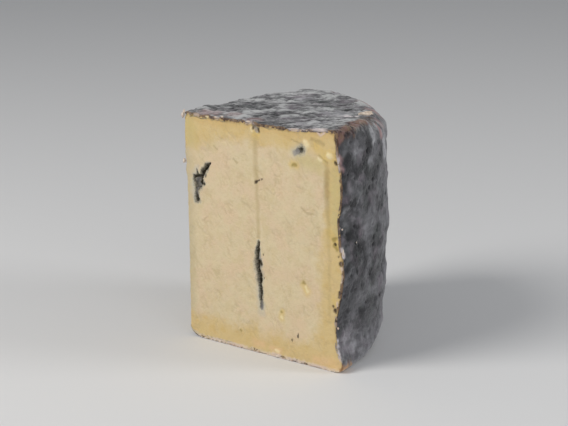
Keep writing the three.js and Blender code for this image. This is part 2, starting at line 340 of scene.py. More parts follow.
def buildRind():
    s = rindShell
    bm = bmesh.new()
    openBlock(bm, s["columns"], s["rows"])
    # the open block is the inner skin, and the same faces extruded are the outer one
    inside = bm.verts.layers.float.new("inside")
    for v in bm.verts:
        v[inside] = 1.0
    grown = bmesh.ops.extrude_face_region(bm, geom=bm.faces[:])
    for v in grown["geom"]:
        if isinstance(v, bmesh.types.BMVert):
            v[inside] = 0.0
    outerEdges = [e for e in bm.edges if e.verts[0][inside] + e.verts[1][inside] == 0.0]
    bmesh.ops.subdivide_edges(bm, edges=outerEdges, cuts=s["finer"] - 1, use_grid_fill=True)
    names = ("crest", "topward", "cutEdge", "folded", *rindPlaces)
    unrolled = bm.verts.layers.float_vector.new("unrolled")  # place round the wall and up it, in mm
    layers = {name: bm.verts.layers.float.new(name) for name in names}

    sides = {}
    for v in bm.verts:
        share, angle = bendToQuarterDisc(v.co.x, v.co.y)
        sides[v] = (v.co.y < 1e-5, v.co.x < 1e-5, share)
        reach, rise = share * wheel["radius"], v.co.z * wheel["height"]
        if v[inside] > 0.5:
            away = smoothStep(0.0, s["deeperFrom"], min(angle, quarter - angle))
            inset = s["thickness"] + s["deeper"] * away
            reach = min(reach, wheel["radius"] - inset)
            rise = min(max(rise, inset), wheel["height"] - inset)
        v.co = wheelForm(reach, rise, angle)
    bmesh.ops.recalc_face_normals(bm, faces=bm.faces[:])
    bm.normal_update()

    moves = {}
    crestMiddle, crestSpan = rindRelief["crest"]
    for v in bm.verts:
        onFront, onSide, share = sides[v]
        normal = v.normal.copy()
        if onFront:
            normal.y = 0.0
        if onSide:
            normal.x = 0.0
        if v[inside] > 0.5:
            normal.negate()
        normal.normalize()
        height = rindHeight(v.co, normal.z)
        shift = normal * height
        ragged = s["cutRagged"] * (noise.noise(v.co / 2.4) + 0.7 * noise.noise(v.co / 0.9))
        back = s["cutBack"] + ragged - apexBow(v.co.z, share * wheel["radius"])
        if onFront:
            shift.y += back
        if onSide:
            shift.x += back
        moves[v] = shift
        angle = math.atan2(v.co.y, v.co.x)
        v[unrolled] = Vector((angle * wheel["radius"] / rindRelief["wallDrawn"], 0.0, v.co.z))
        v[layers["crest"]] = min(max(crestMiddle + height / crestSpan, 0.0), 1.0)
        v[layers["topward"]] = smoothStep(0.1, 0.75, normal.z)
        v[layers["cutEdge"]] = 1.0 if (onFront or onSide) else 0.0
        v[layers["folded"]] = smoothStep(*rindRelief["crinkledFrom"], angle)
        for name, places in rindPlaces.items():
            v[layers[name]] = shareOfPlaces(v.co, places)
    for v, shift in moves.items():
        v.co += shift
        v.co.z = max(v.co.z, 0.0)
    return finishPiece(bm, "cheeseRind")


# The paste: the whole inside of the wedge, with its two knife cuts.
pasteBody = {
    "across": 186,  # cells over a cut, each about half a millimetre
    "tall": 216,
    "turns": 14,  # steps round the wheel, all hidden under the rind
    "behindCut": 0.004,  # radians: close behind a cut the paste drops away under the rind
    "wallInset": 0.2,  # below the rind's outside, at the cuts
    "topInset": 0.4,
    "baseInset": 0.08,
    "leastInset": 0.1,
    "wallRagged": 0.38,  # how unevenly the rind's line runs
    "topRagged": 0.22,
    "deeper": 1.7,  # extra inset away from the cuts
    "underRind": 8.0,  # how far in the paste still follows the rind's folds
    "apexWear": 0.22,
    "edgeFall": 0.45,  # how far a cut falls away beside the rind
    "edgeFallFrom": (2.0, 0.3),
    "lineGroove": 0.2,
    "wallFringe": (1.5, 0.1),  # mm in from wall and top at which the brown fringe starts and is full
    "topFringe": (2.3, 0.2),
    "lowWall": (34.0, 20.0),  # height under which the wall's fringe is fainter
    "paleFoot": (2.3, 0.7),  # and heights at which the pale foot starts and is full
    "apexShade": (8.0, 0.0),  # reach from the apex edge of the painted shade that darkens the paste there
    "ripeTop": (6.5, 1.5),  # depth under the top rind
    "sideSeed": 60.0,  # noise is read here for the second cut, and further off for the top edge
    "topSeed": 400.0,
}

# Marks in a cut by kind: how deep they go, and a path of places across, up and half width, in mm.
frontMarks = {
    "mould": [  # the needle channel, the branching crack, the pocket at the top and a few specks
        (1.6, (48, 57.2, 0.8), (47.8, 54.6, 1.05), (47.4, 52, 1.25), (47.2, 48.3, 1.35)),
        (2.4, (47.2, 48.3, 1.5), (47.6, 44.7, 1.5), (48.4, 41.2, 1.6), (48.7, 37.2, 1.6)),
        (1.8, (49, 36.6, 1.3), (49.2, 33.2, 1.05), (49.3, 31, 1)),
        (0.9, (49.3, 31, 1), (49.4, 28.8, 0.9), (49.7, 23.8, 0.8)),
        (1.2, (49.1, 47.5, 1.06), (49.6, 46, 0.97)),
        (2, (16.6, 92.6, 0.4), (15.4, 91.6, 0.8), (13.8, 90.4, 1.3), (12.2, 88.6, 1.3), (10.9, 86.3, 1.2)),
        (2, (10.9, 86.3, 1.2), (10.2, 84, 1.1), (10, 81.6, 1.25), (8.9, 79.9, 1.5)),
        (1.8, (7.4, 86.2, 0.5), (7.8, 85, 1.1), (8.4, 83.6, 1.3)),
        (1.4, (5.4, 84.6, 0.9), (5.3, 82.4, 0.8)),
        (1.6, (6, 84.4, 0.9), (8.2, 85, 1.1), (10.6, 85.4, 0.9)),
        (1.6, (9.9, 84, 1), (9.5, 80.6, 0.9)),
        (2.2, (7.8, 83.4, 1.38), (7.2, 81, 1.89), (7.7, 79.4, 1.55)),
        (1.4, (6.8, 78.3, 1.2), (6.8, 76.8, 1.35), (6.8, 74.5, 1.45), (6.8, 72.6, 1.5)),
        (0.8, (11.9, 81.6, 0.75), (12.1, 81.2, 0.7)), (0.4, (76.6, 107.6, 1.6), (76, 107, 1.7)),
        (0.2, (75.6, 107, 1.6), (73.6, 106.2, 1)), (0.3, (98.3, 25.8, 0.72), (98.3, 24.8, 0.72)),
        (0.3, (7.3, 88.6, 0.25), (7.6, 86.6, 0.6)),
    ],
    "crust": [  # crust folded over the top corner
        (0.3, (98.4, 119.6, 1.7), (98.6, 116, 1.6), (98.8, 113, 1)),
    ],
    "brown": [  # notches and specks beside the rind, along the foot and at the needle's other end
        (0.5, (97.6, 117.6, 0.4), (98.2, 114, 0.9), (98.6, 110, 1), (98.9, 106.4, 0.6)),
        (0.4, (97.5, 103.8, 0.8), (98, 103, 0.7)), (0.5, (49.1, 116, 0.9), (49, 112.8, 0.8)),
        (0.4, (45.5, 116.4, 0.5), (45.7, 113.6, 0.4)), (0.7, (46.9, 87.2, 0.75), (47.5, 87.6, 0.7)),
        (0.4, (48.8, 88.2, 0.45), (49.1, 88.5, 0.4)), (0.3, (50.7, 89.1, 0.45), (51, 89.4, 0.4)),
        (0.3, (13, 86, 0.7), (13.1, 85.6, 0.6)), (0.6, (96.9, 64.5, 0.6), (97.3, 63.9, 0.6)),
        (0.4, (99.8, 64.2, 0.85), (100.4, 62.6, 0.8)), (0.4, (100.6, 55.2, 1.05), (100.8, 54.6, 1.05)),
        (0.4, (102.2, 50.2, 1), (102.3, 49.8, 0.9)), (0.5, (101, 44.2, 0.8), (101.1, 43.9, 0.7)),
        (0.6, (100, 40.8, 0.8), (99.4, 38.4, 0.7)), (0.3, (95.8, 33.3, 0.6), (96, 33, 0.6)),
        (0.4, (97, 31.3, 1.05), (97.3, 30.9, 1)), (0.3, (99.3, 58.2, 0.45), (99.4, 58, 0.4)),
        (0.3, (101.6, 47, 0.4), (101.7, 46.8, 0.4)), (0.3, (98, 28.2, 0.45), (98.1, 27.8, 0.4)),
        (0.6, (98.6, 21, 1), (98.7, 19.4, 0.9)), (0.15, (73.8, 14.8, 0.35), (73.4, 13.2, 0.5)),
        (0.15, (69.3, 11.1, 0.5), (69.6, 10.8, 0.45)), (0.2, (51.1, 51.2, 0.36), (51.2, 50.9, 0.36)),
        (0.2, (51.6, 39.4, 0.36), (51.6, 39.1, 0.36)), (0.4, (8, 0.9, 0.5), (8.6, 0.7, 0.4)),
        (0.4, (12.3, 0.7, 0.5), (13, 0.6, 0.4)), (0.5, (44.2, 0.9, 0.6), (45.5, 0.8, 0.5)),
        (0.5, (62.8, 0.7, 0.6), (64.3, 0.5, 0.5)), (0.4, (77.6, 0.5, 0.5), (78.7, 0.4, 0.5)),
        (0.5, (17.6, 116.3, 1), (19.8, 116.1, 0.8)), (0.2, (26, 116.2, 0.4), (29, 116.1, 0.4)),
        (0.2, (32.5, 116.1, 0.4), (36.5, 116.1, 0.4)),
        (0.4, (50, 116.1, 0.4), (55, 115.7, 0.5), (60, 115.5, 0.4)),
        (0.5, (62.2, 116, 0.9), (66.6, 116.2, 0.6)),
    ],
    "grey": [  # bloom in the channel and the crack
        (0.9, (46.9, 117.6, 1.5), (47.3, 114.6, 1.5), (47.6, 112.2, 1)),
        (0, (48.4, 52, 0.9), (48.5, 49.2, 1.1)), (0, (49.5, 27.4, 0.4), (49.8, 23.6, 0.9)),
        (0, (7.2, 82.8, 1.2), (7.6, 80.4, 1.3)), (0, (6.8, 78.4, 0.7), (6.8, 76, 0.9)),
        (0, (72.4, 105.4, 1.5), (74.2, 106.4, 1.3)),
    ],
    "haze": [  # the grey breath round them
        (0, (47.6, 33.5, 1.7), (48.8, 21, 1.9)), (0, (50.9, 26, 1.3), (50.8, 20.6, 1.5)),
        (0, (7.5, 89.4, 1.6), (4, 83, 1.7), (5.2, 73, 1.7)), (0, (72, 106.2, 2.6), (77.4, 107.6, 2.7)),
    ],
    "olive": [  # small stains in the pits
        (0.2, (96.8, 63.2, 0.9), (98.2, 61.6, 0.8)), (0.1, (35.5, 9.4, 0.6), (35.8, 9.2, 0.5)),
        (0.2, (71, 99, 0.7), (73, 99.4, 0.8)), (0.1, (77.3, 41.6, 0.9), (78.3, 41.2, 0.7)),
        (0, (62.6, 24.2, 0.55), (63, 23.8, 0.5)), (0.3, (95.6, 66, 0.9), (97.6, 66.8, 0.8)),
        (0.2, (99.4, 72.8, 0.9), (99.6, 71.4, 0.9)), (0.1, (100.4, 77.4, 0.7), (100.4, 76.6, 0.6)),
    ],
    "tear": [  # shallow tears that the knife left, darker inside, partly olive stain and partly painted shade
        (0.5, (87.5, 105.5, 0.6), (92.6, 102.8, 0.5)),
        (0.15, (82.6, 113.3, 0.8), (87, 112.2, 1.2), (90.2, 111.8, 1)),
        (0.3, (70, 111.6, 0.4), (76, 110.2, 0.5)), (0.1, (19, 101.6, 0.4), (21.4, 100.2, 0.3)),
        (0.15, (32, 97.2, 0.4), (34.6, 95.2, 0.5)),
        (0.1, (76, 79, 0.4), (80, 76.4, 0.5), (84, 76.6, 0.4)),
    ],
    "sallow": [  # duller places under the rind
        (0, (97.6, 99, 4), (97.4, 84, 4.4), (97, 70, 4)), (0, (2, 112, 5), (4, 104, 5)),
        (0, (77, 103, 4.6), (87, 101, 5)),
    ],
    "golden": [  # deeper yellow round the pits
        (0, (70.4, 99.6, 2), (73.4, 99.2, 1.8)), (0, (76.8, 40.6, 1.6), (79.6, 37.4, 2.2)),
        (0, (63.2, 24.2, 1.5), (63, 21, 1.8)), (0, (96, 3, 3), (99.6, 1, 3)),
        (0, (96.4, 36.6, 1.5), (97, 34.6, 1.4)), (0, (94, 69, 2), (99, 64, 2.4)),
        (0, (85.6, 109.6, 2.4), (90, 106, 2.8), (97, 106, 2.8)),
        (0, (46, 111.6, 1.6), (48.4, 110.4, 1.4)),
    ],
    "pale": [  # pale curds that stand out
        (-0.5, (79, 111.4, 1.5), (79.8, 109.8, 1.9)), (-0.6, (93.4, 106.6, 1.6), (94.4, 106.2, 1.7)),
        (-0.3, (87, 104.6, 0.7), (88.6, 103.4, 0.8)), (-0.1, (62.9, 21.6, 1), (63.3, 20.9, 0.9)),
        (-0.3, (78.6, 39.4, 0.8), (80, 37.6, 1.2)), (-0.2, (44.5, 114, 0.7), (44.6, 112.4, 0.7)),
        (-0.2, (13, 116.3, 0.6), (15.4, 116.2, 0.6)), (-0.3, (59, 3.6, 0.9), (60.8, 3.2, 0.9)),
        (-0.2, (48.6, 46.3, 0.4), (48.9, 45.9, 0.4)),
    ],
    "lip": [  # pinkish crust along the edges
        (-0.2, (40.6, 116.3, 0.5), (45, 116.6, 0.6)), (-0.2, (20.4, 116.3, 0.4), (23, 116.2, 0.4)),
        (-0.2, (68.6, 116.3, 0.45), (73, 116.7, 0.6), (77.6, 117.4, 0.5)),
        (-0.1, (79.6, 117.6, 0.4), (84, 117.8, 0.4)),
        (-0.1, (86.2, 117.2, 0.6), (88.6, 116, 0.8), (90.8, 117.2, 0.6)),
        (-0.2, (102.2, 62.6, 0.7), (102.5, 58.6, 0.8)), (-0.1, (101.2, 52.8, 0.8), (101.8, 51.2, 0.7)),
        (-0.1, (102, 48.4, 0.8), (101.2, 44.8, 0.8)), (-0.1, (98.2, 35.4, 0.5), (98.2, 33.4, 0.5)),
        (-0.1, (99.2, 17, 0.7), (99.8, 7, 0.9)), (-0.2, (101.2, 73, 0.7), (101.2, 71.4, 0.7)),
        (-0.2, (15.5, 1, 0.7), (24, 0.9, 0.9)), (-0.2, (26.6, 0.8, 0.7), (36.5, 0.8, 0.9)),
        (-0.3, (56.5, 1.4, 0.9), (61.8, 1.1, 1.1)), (-0.1, (67, 0.8, 0.7), (76.4, 0.7, 0.7)),
        (-0.1, (81, 0.8, 0.7), (91, 0.9, 0.8)),
    ],
    "peach": [  # the blush near the foot
        (0, (45, 4.6, 2.6), (50, 5, 2.2)), (0, (56, 4.4, 1.6), (62, 3.8, 1.6)),
        (0, (84, 4, 2), (94, 4.4, 3.4), (98, 3, 3)),
    ],
}
sideMarks = {
    "mould": [
        (2, (57.2, 85, 0.8), (57.4, 79, 1.5), (56.8, 71, 1.8), (56.6, 63, 1.4), (56.3, 57, 1)),
        (2.2, (32, 45, 1), (29.5, 41.5, 1.7), (26, 37.5, 1.5)),
        (1.8, (31, 40, 1.4), (32.6, 36.5, 1.6), (33.6, 33.6, 0.9)),
        (1, (78.4, 28.6, 1.5), (77.4, 27.4, 1.3)),
    ],
    "grey": [
        (1.4, (57.8, 118, 1.1), (57.6, 113.5, 1.1), (57.4, 110, 0.7)),
        (0, (56.9, 75, 0.9), (56.8, 70, 1.1)),
    ],
    "haze": [
        (0, (55.2, 84, 1.6), (54.6, 60, 1.8)), (0, (28, 45, 1.8), (24.4, 39, 1.7)),
    ],
    "brown": [
        (0.7, (20, 96, 0.8), (20.6, 96.4, 0.7)), (0.6, (97.6, 70, 1), (98.2, 68.6, 0.9)),
        (0.6, (97.8, 36, 0.9), (98.2, 35, 0.9)), (0.3, (64, 12.4, 0.6), (64.4, 12, 0.5)),
        (0.5, (40.4, 1, 0.9), (41.6, 0.8, 0.7)), (0.4, (70, 115.6, 0.8), (76, 115.2, 0.7)),
        (0.3, (22, 116.4, 0.7), (30, 116.2, 0.6)),
    ],
    "olive": [
        (0.1, (40, 92, 0.9), (41, 92.4, 0.8)), (0.1, (68, 52, 0.9), (69, 51, 0.7)),
    ],
    "golden": [
        (0, (38.6, 92, 1.9), (42.4, 91.6, 1.9)), (0, (67, 52, 1.9), (70, 49, 2.1)),
        (0, (95, 72, 2.2), (97, 66, 2.2)),
    ],
    "pale": [
        (-0.5, (26, 108, 1.3), (27, 107.2, 1.5)), (-0.3, (69, 50, 0.9), (70.4, 48.6, 1.1)),
    ],
    "lip": [
        (-0.2, (50, 116.4, 0.7), (55.6, 116.4, 0.7)), (-0.2, (98.8, 60, 0.7), (98.9, 52, 0.7)),
    ],
}
markReach = 5.0  # mm round a mark's path within which it can still be felt
noMould = -4.0  # closeness where no mould is near

# Where each kind of mark starts and is full, by closeness to its path. Mould keeps its bare closeness.
markKinds = {
    "grey": (-0.5, 0.6),
    "haze": (-0.6, 0.9),
    "brown": (-0.5, 0.4),
    "olive": (-0.7, 0.5),
    "golden": (-0.8, 0.8),
    "pale": (-0.5, 0.7),
    "lip": (-0.4, 0.6),
    "tear": (-0.6, 0.6),
    "crust": (-0.5, 0.4),
    "sallow": (-0.6, 1.0),
    "peach": (-0.6, 1.0),
}

# Where the rind laps into a cut: place along the wall (up) or the top (across), half width, how far.
frontLaps = {
    "wall": [(113.5, 3.4, 1.5), (105.4, 2.0, 1.2), (100.6, 1.6, 0.9), (64.0, 2.6, 0.7)],
    "top": [(88.4, 3.0, 1.5), (33.0, 9.0, 0.5)],
}
sideLaps = {"wall": [(92.0, 3.0, 1.1), (50.0, 2.6, 0.9)], "top": [(70.0, 3.0, 1.2), (36.0, 4.0, 0.6)]}

# How deep the yellow zone goes in from wall, top and base in mm: full to the first, none past the second.
yellowZone = {
    "wallHigh": (6.5, 12.0),
    "wallLow": (6.0, 19.0),
    "top": (5.2, 17.0),
    "base": (5.0, 19.0),
    "apexDeeper": 6.0,
    "uneven": 2.6,
}

# Faint stained lines down the front cut, as places across, up, half width and strength.
stainedLines = [
    [(47.1, 112.0, 2.6, 0.2), (47.0, 106.0, 2.6, 0.6), (46.9, 96.0, 2.5, 0.5), (47.4, 87.9, 2.3, 0.6),
     (48.0, 73.4, 2.0, 0.45), (48.1, 59.0, 1.8, 0.6)],
    [(92.2, 104.0, 2.0, 0.2), (92.0, 98.0, 2.8, 1.0), (92.0, 90.0, 2.8, 1.0), (92.3, 80.0, 2.4, 0.7),
     (93.0, 70.0, 2.0, 0.4), (93.6, 56.0, 1.8, 0.3), (93.6, 30.0, 1.8, 0.3), (93.6, 20.0, 1.8, 0.0)],
]

# Shallow relief of a knife cut, as pairs of size across and height in mm, and its slanting creases.
cutTexture = {
    "waves": (17.0, 0.2),
    "ripples": (7.0, 0.16),
    "curds": (3.4, 0.13),
    "grit": (1.3, 0.07),
    "longCrease": (2.7, 0.17),  # size, and how wide it opens
    "shortCrease": (1.7, 0.15),
    "shortShare": 0.7,
    "creaseDepth": 0.2,
}


# Marks with the box round each path in which it can be felt, and how far its edge is shaken.
def prepareMarks(marks):
    prepared = []
    for kind, paths in marks.items():
        for deep, *path in paths:
            low = [min(p[i] for p in path) - markReach for i in (0, 1)]
            high = [max(p[i] for p in path) + markReach for i in (0, 1)]
            shaken = min(1.0, 0.2 + 0.6 * max(half for x, z, half in path))
            prepared.append((kind, deep, path, low, high, shaken))
    return prepared


# Closeness to a path: 1 on its line, 0 at its edge, falling below 0 outside it.
def closeness(across, up, path):
    best = -9.0
    for (ax, az, ar), (bx, bz, br) in zip(path, path[1:]):
        dx, dz = bx - ax, bz - az
        along = min(max(((across - ax) * dx + (up - az) * dz) / (dx * dx + dz * dz), 0.0), 1.0)
        distance = math.hypot(across - ax - along * dx, up - az - along * dz)
        best = max(best, 1.0 - distance / blend(ar, br, along))
    return best


# How strongly each kind of mark is felt at a spot of a cut, and how deep it is hollowed.
def readMarks(spot, marks):
    shake = noise.noise_vector(spot / 2.3) * 0.7 + noise.noise_vector(spot / 0.9) * 0.35
    felt = {"mould": noMould, **dict.fromkeys(markKinds, 0.0)}
    hollow = 0.0
    for kind, deep, path, low, high, shaken in marks:
        x, z = spot.x + shake.x * shaken, spot.z + shake.z * shaken
        if low[0] < x < high[0] and low[1] < z < high[1]:
            close = closeness(x, z, path)
            strength = close if kind == "mould" else smoothStep(*markKinds[kind], close)
            felt[kind] = max(felt[kind], strength)
            step = deep * smoothStep(-0.05, 0.75, close)
            hollow = step if abs(step) > abs(hollow) else hollow
    return felt, hollow


# Strength of the stained lines at a place of the front cut.
def readLines(across, up):
    felt = 0.0
    for path in stainedLines:
        for (ax, az, ar, a), (bx, bz, br, b) in zip(path, path[1:]):
            if bz <= up <= az:
                t = (up - az) / (bz - az)
                off = abs(across - blend(ax, bx, t)) / blend(ar, br, t)
                felt = max(felt, blend(a, b, t) * smoothStep(1.0, 0.1, off))
    return felt


# Relief out of a cut in mm: slow waves, curd lumps, and short slanting creases in clusters where the
# knife dragged the paste. Also gives how strongly a crease is felt, for the painted shade in the creases.
def cutRelief(spot):
    t = cutTexture
    wave = swell(*t["waves"], spot) + swell(*t["ripples"], spot)
    curd = swell(*t["curds"], spot) + swell(*t["grit"], spot)
    bent = noise.noise_vector(spot / 4.0) * 1.3
    slant = Vector(((spot.x + spot.z) * 0.7 + bent.x, spot.y, (spot.x - spot.z) * 0.27 + bent.z))
    cluster = smoothStep(-0.12, 0.3, noise.noise(spot / 8.0 + Vector((3, 1, 8))))
    longSize, longWidth = t["longCrease"]
    shortSize, shortWidth = t["shortCrease"]
    shadedCrease = smoothStep(longWidth, 0.0, abs(noise.noise(slant / longSize))) * cluster
    short = smoothStep(shortWidth, 0.0, abs(noise.noise(slant / shortSize + Vector((9, 0, 4)))))
    shadedCrease += t["shortShare"] * short * (0.3 + 0.7 * cluster)
    return wave + curd - t["creaseDepth"] * shadedCrease, min(shadedCrease, 1.0)


def yellowShare(inFromWall, inFromTop, rise, place):
    uneven = yellowZone["uneven"] * (noise.noise(place / 9.0) + 0.5 * noise.noise(place / 3.5))
    low = smoothStep(0.68, 0.5, rise / wheel["height"])
    deeper = yellowZone["apexDeeper"] * smoothStep(24.0, 6.0, math.hypot(place.x, place.y))
    wallZone = [blend(a, b, low) for a, b in zip(yellowZone["wallHigh"], yellowZone["wallLow"])]
    depths = ((inFromWall, wallZone), (inFromTop - deeper, yellowZone["top"]), (rise, yellowZone["base"]))
    share = 1.0
    for depth, zone in depths:
        share *= smoothStep(*zone, depth + uneven)
    return 1.0 - share


# How far the paste stands in under the rind's outside at wall, top and base. The rind's line runs
# unevenly, and the rind laps over it in places.
def pasteInsets(along, tall, seed, laps, extra):
    p = pasteBody
    wallPlace, topPlace = Vector((0.0, seed, tall)), Vector((along, seed, p["topSeed"]))
    wallUneven = noise.noise(wallPlace / 2.6) + 0.6 * noise.noise(wallPlace / 1.1)
    topUneven = noise.noise(topPlace / 3.2) + 0.2 * noise.noise(topPlace / 1.2)
    wallLap, topLap = [
        sum(far * hill(where - middle, half) for middle, half, far in laps[side])
        for where, side in ((wallPlace.z, "wall"), (along, "top"))
    ]
    wall = max(p["wallInset"] + p["wallRagged"] * wallUneven + wallLap, p["leastInset"])
    top = max(p["topInset"] + p["topRagged"] * topUneven + topLap, p["leastInset"])
    return wall + extra, top + extra, p["baseInset"] + extra


# One spot of a cut: how far in from the flat its surface goes in mm, and how strongly each finish is
# felt there. The edges are its distances from wall, top and base.
def workCut(spot, reach, rise, edges, marks, lined):
    p = pasteBody
    fromWall, fromTop, fromBase = edges
    felt, hollow = readMarks(spot, marks)
    relief, felt["shadedCrease"] = cutRelief(spot)
    felt["line"] = readLines(spot.x + 0.6 * noise.noise(spot / 6.0), spot.z) if lined else 0.0
    wander = noise.noise(spot / 2.2)
    wallFringe = smoothStep(*p["wallFringe"], fromWall + 0.8 * wander)
    wallFringe *= 1.0 - 0.6 * smoothStep(*p["lowWall"], rise)
    felt["edge"] = max(wallFringe, smoothStep(*p["topFringe"], fromTop + wander))
    felt["foot"] = smoothStep(*p["paleFoot"], fromBase + 1.1 * noise.noise(spot / 2.0))
    inward = hollow - relief - apexBow(spot.z, reach)
    inward += p["apexWear"] * math.exp(-reach / 0.9) * (1.0 + noise.noise(spot / 6.0))
    fallen = smoothStep(*p["edgeFallFrom"], min(fromWall, fromTop))
    inward += p["edgeFall"] * fallen * (0.4 + noise.noise(spot / 1.6))
    return inward + p["lineGroove"] * felt["line"], felt


def buildPaste():
    p = pasteBody
    bm = bmesh.new()
    bmesh.ops.create_grid(bm, x_segments=p["across"], y_segments=p["tall"], size=0.5)
    bmesh.ops.translate(bm, verts=bm.verts, vec=(0.5, 0.5, 0.0))
    bmesh.ops.rotate(bm, verts=bm.verts, matrix=Matrix.Rotation(quarter, 3, "X"))
    bmesh.ops.spin(bm, geom=bm.faces[:], cent=(0, 0, 0), axis=(0, 0, 1), angle=quarter, steps=p["turns"])
    bmesh.ops.remove_doubles(bm, verts=bm.verts, dist=1e-5)
    bmesh.ops.recalc_face_normals(bm, faces=bm.faces[:])

    names = ("mould", *markKinds, "yellow", "ripe", "line", "edge", "foot", "shadedCrease", "apex")
    layers = {name: bm.verts.layers.float.new(name) for name in names}
    cuts = {
        "front": (0.0, frontLaps, prepareMarks(frontMarks)),
        "side": (p["sideSeed"], sideLaps, prepareMarks(sideMarks)),
    }
    radius, height = wheel["radius"], wheel["height"]
    turn, near = quarter / p["turns"], 0.01
    for v in bm.verts:
        share = math.hypot(v.co.x, v.co.y)
        angle = math.atan2(v.co.y, v.co.x) if share > 1e-4 else 0.0
        onFront = angle < near
        onSide = angle > quarter - near or share < 1e-4
        if abs(angle - turn) < near:
            angle = p["behindCut"]
        elif abs(angle - quarter + turn) < near:
            angle = quarter - p["behindCut"]
        seed, laps, marks = cuts["front" if onFront else "side"]
        along, tall = share * radius, v.co.z * height
        extra = 0.0 if onFront or onSide else p["deeper"]
        wallInset, topInset, baseInset = pasteInsets(along, tall, seed, laps, extra)
        reach = along - wallInset * share**12
        rise = tall - topInset * v.co.z**12 + baseInset * (1.0 - v.co.z) ** 12
        place = wheelForm(reach, rise, angle)
        inFromWall, inFromTop = radius - reach, height - rise
        # the paste close under the rind follows the folds of the rind
        wallHold = 1.0 - smoothStep(0.0, p["underRind"], inFromWall)
        wallHold *= rindHeight(wheelForm(radius, rise, angle), 0.0)
        topHold = 1.0 - smoothStep(0.0, p["underRind"], inFromTop)
        topHold *= rindHeight(wheelForm(reach, height, angle), 1.0)
        topHold *= v.co.z**2
        place += Vector((math.cos(angle) * wallHold, math.sin(angle) * wallHold, topHold))
        if onFront or onSide:
            spot = Vector((place.x if onFront else place.y, seed, place.z))
            edges = (radius - along, (1.0 - v.co.z) * height, tall)
            inward, felt = workCut(spot, reach, rise, edges, marks, onFront)
            for name, strength in felt.items():
                v[layers[name]] = strength
            if onFront:
                place.y += inward
            if onSide:
                place.x += inward
        v[layers["yellow"]] = yellowShare(inFromWall, inFromTop, rise, place)
        wander = 1.5 * noise.noise(place / 5.0)
        # painted shade that darkens the paste towards the apex edge
        v[layers["apex"]] = smoothStep(*p["apexShade"], along + wander)
        v[layers["ripe"]] = smoothStep(*p["ripeTop"], inFromTop + wander)
        v.co = place
    for v in bm.verts:
        v.co.z = max(v.co.z, 0.0)
    return finishPiece(bm, "cheesePaste")


def newPiece(bm, name):
    mesh = bpy.data.meshes.new(name)
    bm.to_mesh(mesh)
    bm.free()
    piece = bpy.data.objects.new(name, mesh)
    bpy.context.scene.collection.objects.link(piece)
    return piece


# Sets a shape in millimetres round the wheel's axis into the frame, as a smooth-shaded piece.
def finishPiece(bm, name):
    bmesh.ops.scale(bm, verts=bm.verts, vec=(0.001, 0.001, 0.001))
    bmesh.ops.translate(bm, verts=bm.verts, vec=wheelAxis)
    bmesh.ops.recalc_face_normals(bm, faces=bm.faces[:])
    for f in bm.faces:
        f.smooth = True
    print(name, len(bm.faces), "faces")
    return newPiece(bm, name)


# The flake of crust torn up on the top rim.
rimFlake = {
    "around": 0.56,
    "reach": 90.8,
    "above": 0.6,
    "length": 7.4,
    "width": 2.8,
    "thickness": 0.7,
    "turn": 1.05,  # radians
    "tip": 0.42,
    "curl": 0.7,
    "ragged": 0.22,  # how unevenly its edge runs
    "crinkle": 0.35,
}


def buildFlake():
    f = rimFlake
    bm = bmesh.new()
    bmesh.ops.create_grid(bm, x_segments=24, y_segments=12, size=0.5)
    for v in bm.verts:
        across, along = v.co.y, v.co.x
        taper = 1.0 - 0.75 * smoothStep(0.1, -0.5, along) - 0.35 * smoothStep(0.2, 0.5, along)
        ragged = 1.0 + f["ragged"] * noise.noise(Vector((along * 6.0, across * 3.0, 4.0)))
        curl = f["curl"] * (4.0 * across * across + along * along)
        crinkle = f["crinkle"] * noise.noise(Vector((along * 5.0, across * 4.0, 9.0)))
        v.co = Vector((along * f["length"], across * f["width"] * taper * ragged, curl + crinkle))
    bmesh.ops.solidify(bm, geom=bm.faces[:], thickness=f["thickness"])
    bmesh.ops.rotate(bm, verts=bm.verts, matrix=Matrix.Rotation(f["tip"], 3, "X"))
    bmesh.ops.rotate(bm, verts=bm.verts, matrix=Matrix.Rotation(f["turn"], 3, "Z"))
    seat = wheelForm(f["reach"], wheel["height"], f["around"])
    bmesh.ops.translate(bm, verts=bm.verts, vec=seat + Vector((0.0, 0.0, f["above"])))
    return finishPiece(bm, "rimFlake")


# Crumbs: place from the axis, radius, and how much longer than wide, along the edge they cling to.
crumbs = {
    "named": [
        (-0.9, -0.7, 115.2, 1.15, 1.3, "Z"), (-0.4, -0.3, 117, 0.7, 1.7, "Z"),
        (-0.9, -0.5, 91.6, 0.95, 1.5, "Z"), (25.2, 0, 117.2, 0.6, 1.2, "X"),
        (42.8, -0.1, 116.9, 0.6, 2.6, "X"), (21, 0, 116.5, 0.5, 2.4, "X"),
        (99.9, 12.5, 63, 0.55, 1, "Z"), (101.6, 0, 72, 0.5, 1.1, "Z"),
        (102.3, -0.1, 60.6, 0.55, 3.2, "Z"), (98.9, 0, 22.6, 0.55, 1.4, "Z"),
        (17.8, -0.3, 0.7, 0.55, 1.2, "X"), (21.3, -0.3, 0.7, 0.6, 1.4, "X"),
        (24.2, -0.4, 0.6, 0.5, 1.2, "X"), (30.5, -0.3, 0.7, 0.65, 1.5, "X"),
        (35.4, -0.4, 0.6, 0.6, 1.8, "X"), (47, -0.3, 0.5, 0.5, 2.2, "X"),
        (60.2, -0.4, 0.8, 0.8, 2.2, "X"), (69.3, -0.3, 0.5, 0.5, 1.6, "X"),
    ],
    "scattered": 110,  # along the foot of both cuts
    "scatteredOver": (6.0, 97.0),
    "onFront": 0.55,  # their share along the front cut
    "sizes": (0.22, 0.5),
    "lengths": (1.0, 2.0),
    "sit": 0.7,  # how high and how far out they sit, by their size
    "out": 0.3,
    "uneven": 0.45,
    "seed": 12,
}


